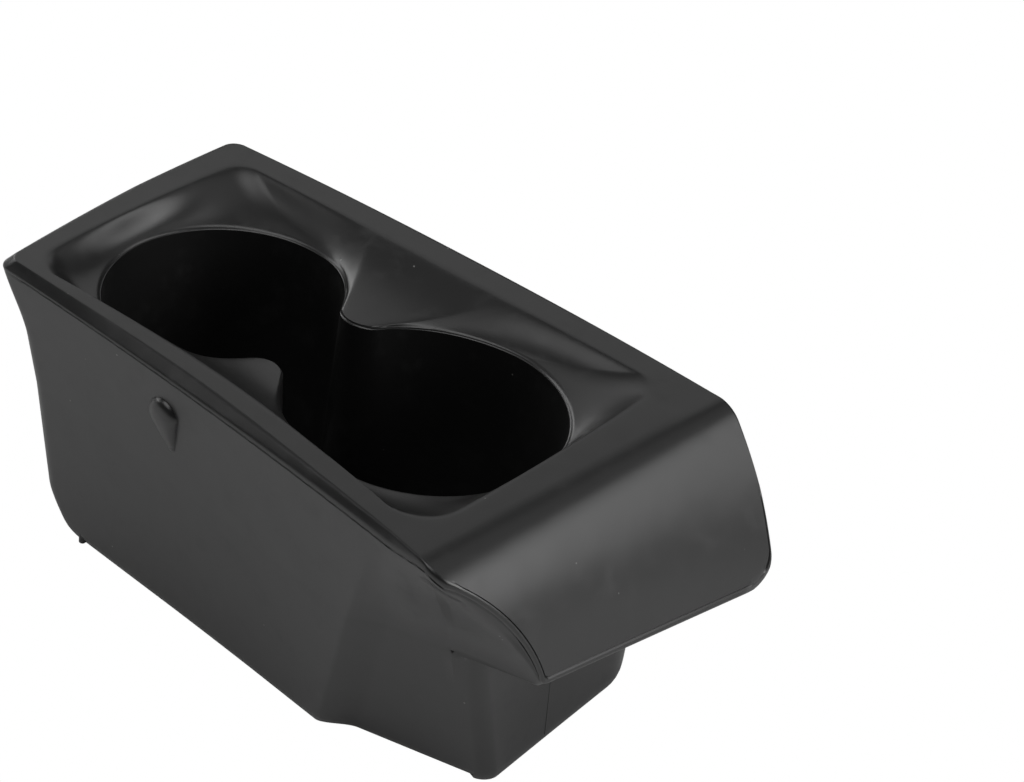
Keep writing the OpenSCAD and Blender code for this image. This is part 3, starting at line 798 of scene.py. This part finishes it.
def boss_height(x, z):
    """Height of the teardrop: out (1 - (d / r)^2.6)^0.55 over a capsule that tapers from the
    head to the tail, with a soft foot round it that falls off exponentially."""
    head, tail = np.array(BOSS_HEAD), np.array(BOSS_TAIL)
    axis = tail - head
    t = np.clip(((x - head[0]) * axis[0] + (z - head[1]) * axis[1]) / (axis @ axis), 0, 1)
    r = lerp(BOSS_HEAD_R, BOSS_TAIL_R, t)
    d = np.hypot(x - head[0] - axis[0] * t, z - head[1] - axis[1] * t) / r
    out = lerp(BOSS_OUT, BOSS_TAIL_OUT, t ** BOSS_OUT_POWER)
    dome = out * np.maximum(0, 1 - np.minimum(d, 1) ** BOSS_FLATNESS) ** BOSS_ROUNDNESS
    return dome + FOOT_H * np.exp(-np.maximum(0, d - 1) * r / FOOT_RUN)


def boss():
    """Patch over the near wall that rises from it into the boss."""
    x = np.linspace(BOSS_TAIL[0] - PATCH_LEFT, BOSS_TAIL[0] + PATCH_RIGHT, PATCH_COLUMNS)
    z = np.linspace(BOSS_TAIL[1] - PATCH_DOWN, BOSS_HEAD[1] + PATCH_UP, PATCH_ROWS)
    wall = np.array([near_wall_y(x, height) for height in z])
    gx, gz = np.meshgrid(x, z)
    y = wall + PATCH_OUT - boss_height(gx, gz)
    points = np.stack([gx, y, gz], -1).reshape(-1, 3)
    faces = grid_faces(PATCH_ROWS, PATCH_COLUMNS, closed=False)
    return mesh_piece("boss", points, faces, BOSS_CREASE)


def end_face_x(y, z):
    """X of the end face of the block at y, on the ring of the wall at height z."""
    ring = block_ring(z)
    return np.interp(y, ring[on_apron, 1], ring[on_apron, 0])


def seam():
    """Thin raised line down the end face, a tube along straight steps from top to foot."""
    t = np.linspace(0, 1, SEAM_STEPS)
    y, z = (lerp(top, low_end, t) for top, low_end in zip(SEAM_TOP, SEAM_FOOT))
    path = [[end_face_x(v, h) - SEAM_R * SEAM_SUNK, v, h] for v, h in zip(y, z)]
    points, faces = capped(tube(path, SEAM_R), np.array(path[0]), np.array(path[-1]))
    return mesh_piece("seam", points, faces, SEAM_CREASE)


def peg():
    """Short cylinder with a rounded lower end: its radius is r - q (1 - sin k) at q (1 - cos k)."""
    x, y = PEG_AT
    a = np.linspace(0, 2 * math.pi, PEG_SIDES, endpoint=False)
    circle = np.stack([np.cos(a), np.sin(a), 0 * a], -1)
    stack = []
    for k in np.radians(PEG_TURNS):
        r = PEG_R - PEG_ROUND * (1 - math.sin(k))
        stack.append(circle * r + np.array([x, y, PEG_Z + PEG_ROUND * (1 - math.cos(k))]))
    stack.append(circle * PEG_R + np.array([x, y, PEG_TOP]))
    points, faces = capped(np.array(stack), np.array([x, y, PEG_Z]), np.array([x, y, PEG_TOP]))
    return mesh_piece("peg", points, faces, PEG_CREASE)


def linear(code):
    """Linear colour of an sRGB hex code."""
    rgb = [int(code[i:i + 2], 16) / 255 for i in (1, 3, 5)]
    return tuple(v / 12.92 if v <= 0.04045 else ((v + 0.055) / 1.055) ** 2.4 for v in rgb) + (1.0,)


def empty_tree(owner):
    """Node tree of a material or a world, with nothing in it."""
    owner.use_nodes = True
    owner.node_tree.nodes.clear()
    return owner.node_tree


def add_node(tree, kind, sockets=(), **settings):
    """Adds one node with its settings and links. A socket, named or counted, gets a value or
    the output that feeds it. Gives the outputs of the node."""
    new = tree.nodes.new("ShaderNode" + kind)
    for name, value in settings.items():
        setattr(new, name, value)
    for socket, value in dict(sockets).items():
        if isinstance(value, bpy.types.NodeSocket):
            tree.links.new(value, new.inputs[socket])
        else:
            new.inputs[socket].default_value = value
    return new.outputs


# Breadth of the moulding's patterns: grain, slow waves, rubbed patches, and space of the specks.
# The real grain is finer and is drawn as coarse as it needs to show.
GRAIN, WAVES, PATCHES, SPECKS = 0.7, 26.0, 10.5, 8.0
# Breadth, detail and roughness of the three noises
NOISES = ((GRAIN, 3.0, 0.5), (WAVES, 2.0, 0.45), (PATCHES, 6.0, 0.7))
# Heights of grain, waves and specks in the bump, as shares of BUMP_M metres, and its strength
GRAIN_H, WAVES_H, SPECK_H = 0.02, 0.6, -0.06
BUMP, BUMP_M = 0.5, 0.001
# Where a speck fades into the skin, which cells have one, and where rubbing shows
SPECK_EDGE, SPECK_CHOICE, RUBBED_EDGE = (0.02, 0.05), (0.70, 0.72), (0.5, 0.72)
BLACK, RUBBED_BLACK, DUST = "#141414", "#191919", "#6a6a68"
# Roughness of the satin skin, what rubbing adds to it, and the level of its sheen
SATIN, RUBBED_MORE, SHEEN_LEVEL = 0.34, 0.07, 0.75


def per_metre(breadth):
    """Scale of a pattern of this breadth, since object coordinates are in metres."""
    return 1000 / breadth


def moulded_black():
    """Flexible moulding of foamed rubber, taken from a smooth mould: nearly black, with a satin
    skin, fine matt grain, slow waves, rubbed patches and dust specks."""
    material = bpy.data.materials.new("satin black moulding")
    tree = empty_tree(material)
    spot = add_node(tree, "TexCoord")["Object"]
    grain, waves, rubbed = (
        add_node(tree, "TexNoise", {
            "Vector": spot, "Scale": per_metre(breadth), "Detail": detail, "Roughness": rough})["Fac"]
        for breadth, detail, rough in NOISES)
    cells = add_node(tree, "TexVoronoi", {"Vector": spot, "Scale": per_metre(SPECKS)})
    choice = add_node(tree, "SeparateColor", {"Color": cells["Color"]})["Red"]
    off_speck, chosen, worn = (
        add_node(tree, "MapRange", {"Value": source, "From Min": none, "From Max": full},
                 interpolation_type="SMOOTHSTEP")["Result"]
        for source, (none, full) in (
            (cells["Distance"], SPECK_EDGE), (choice, SPECK_CHOICE), (rubbed, RUBBED_EDGE)))
    on_speck = add_node(tree, "Math", {0: 1.0, 1: off_speck}, operation="SUBTRACT")[0]
    speck = add_node(tree, "Math", {0: on_speck, 1: chosen}, operation="MULTIPLY")[0]
    colour = linear(BLACK)
    for share, code in ((speck, DUST), (worn, RUBBED_BLACK)):
        colour = add_node(
            tree, "MixRGB", {"Fac": share, "Color1": colour, "Color2": linear(code)})[0]
    rough = add_node(tree, "Math", {0: worn, 1: RUBBED_MORE, 2: SATIN}, operation="MULTIPLY_ADD")[0]
    height = 0.0
    for source, rise in ((grain, GRAIN_H), (waves, WAVES_H), (speck, SPECK_H)):
        height = add_node(tree, "Math", {0: source, 1: rise, 2: height}, operation="MULTIPLY_ADD")[0]
    normal = add_node(tree, "Bump", {"Height": height, "Strength": BUMP, "Distance": BUMP_M})[0]
    shader = add_node(tree, "BsdfPrincipled", {
        "Specular IOR Level": SHEEN_LEVEL, "Base Color": colour, "Roughness": rough,
        "Normal": normal})[0]
    add_node(tree, "OutputMaterial", {"Surface": shader})
    return material


# Camera at the photograph's viewing angle, in metres and degrees. IMAGE_AXIS is the pixel that
# it points at, in a picture of IMAGE_SIZE.
FOCAL_MM, SENSOR_MM = 110.013, 36.0
CAMERA_AT = (0.516113, -0.581242, 0.623118)
CAMERA_TURN = (55.1774, -5.27034, 41.67992)
IMAGE_SIZE, IMAGE_AXIS = (1024, 782), (484.784, 385.798)
CLIP_NEAR, CLIP_FAR = 0.05, 20.0


def photo_camera():
    """Camera whose shift moves the middle of the picture away from the pixel on its axis."""
    data = bpy.data.cameras.new("camera")
    data.lens = FOCAL_MM
    data.sensor_width = SENSOR_MM
    data.shift_x = (IMAGE_SIZE[0] / 2 - IMAGE_AXIS[0]) / IMAGE_SIZE[0]
    data.shift_y = (IMAGE_AXIS[1] - IMAGE_SIZE[1] / 2) / IMAGE_SIZE[0]
    data.clip_start = CLIP_NEAR
    data.clip_end = CLIP_FAR
    camera = bpy.data.objects.new("camera", data)
    camera.location = CAMERA_AT
    camera.rotation_euler = [math.radians(v) for v in CAMERA_TURN]
    bpy.context.scene.collection.objects.link(camera)
    bpy.context.scene.camera = camera


# Lamps: what they face and how far they are from it, in metres. Of each, its name, direction
# round and up, breadth and height as seen from there, all in degrees, and radiance.
MIDDLE, LAMP_FAR = np.array([0.0, 0.0, 0.06]), 1.6
LAMPS = (
    ("right softbox", 34, 27, 44, 34, 1.75),
    ("right front softbox", 8, 23, 28, 24, 4.4),
    ("back high softbox", 70, 55, 30, 30, 0.4),
    ("back left softbox", 132, 33, 46, 26, 0.6),
    ("left softbox", 181, 21, 60, 18, 2.8),
    ("top softbox", 90, 89, 26, 26, 2.1),
    ("front high softbox", -104, 60, 38, 34, 2.0))


def softbox(name, around, up, width, height, radiance):
    """Soft area lamp that faces the middle of the part. A side is 2 far tan(half its degrees),
    and the power is pi times radiance times area."""
    a, e = math.radians(around), math.radians(up)
    way_out = np.array([math.cos(a) * math.cos(e), math.sin(a) * math.cos(e), math.sin(e)])
    size, size_y = (2 * LAMP_FAR * math.tan(math.radians(v / 2)) for v in (width, height))
    data = bpy.data.lights.new(name, "AREA")
    data.shape = "RECTANGLE"
    data.size = size
    data.size_y = size_y
    data.energy = radiance * math.pi * size * size_y
    light = bpy.data.objects.new(name, data)
    light.location = MIDDLE + LAMP_FAR * way_out
    light.rotation_euler = (math.pi / 2 - e, 0, math.pi / 2 + a)
    light.visible_camera = False
    bpy.context.scene.collection.objects.link(light)


# Floor: its colour, half its side and its height. World: its strength on the part.
PALE, FLOOR_HALF, FLOOR_Z = "#f2f2f2", 3000.0, -0.3
WHITE = (1, 1, 1, 1)
WORLD_DIM = 0.02


def white_floor():
    """Pale floor that the camera sees as plain white."""
    material = bpy.data.materials.new("white floor")
    tree = empty_tree(material)
    seen = add_node(tree, "LightPath")["Is Camera Ray"]
    matt = add_node(tree, "BsdfDiffuse", {"Color": linear(PALE)})[0]
    white = add_node(tree, "Emission", {"Color": WHITE, "Strength": 1.0})[0]
    mix = add_node(tree, "MixShader", {0: seen, 1: matt, 2: white})[0]
    add_node(tree, "OutputMaterial", {"Surface": mix})
    corners = [[-1, -1], [1, -1], [1, 1], [-1, 1]]
    points = np.array([[FLOOR_HALF * x, FLOOR_HALF * y, FLOOR_Z] for x, y in corners])
    floor = mesh_piece("floor", points, [[0, 1, 2, 3]])
    floor.data.materials.append(material)


def studio_world():
    """World that the camera sees as plain white and that gives the part very little light."""
    world = bpy.data.worlds.new("world")
    tree = empty_tree(world)
    seen = add_node(tree, "LightPath")["Is Camera Ray"]
    dim = add_node(tree, "Background", {"Color": WHITE, "Strength": WORLD_DIM})[0]
    white = add_node(tree, "Background", {"Color": WHITE, "Strength": 1.0})[0]
    mix = add_node(tree, "MixShader", {0: seen, 1: dim, 2: white})[0]
    add_node(tree, "OutputWorld", {"Surface": mix})
    bpy.context.scene.world = world


moulding = moulding_body()
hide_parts("cup_holder")
skin_material = moulded_black()
for piece in (moulding, boss(), seam(), peg()):
    piece.data.materials.append(skin_material)
    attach(piece, "root")

photo_camera()
for lamp in LAMPS:
    softbox(*lamp)
white_floor()
studio_world()
bpy.context.scene.view_settings.view_transform = "Standard"
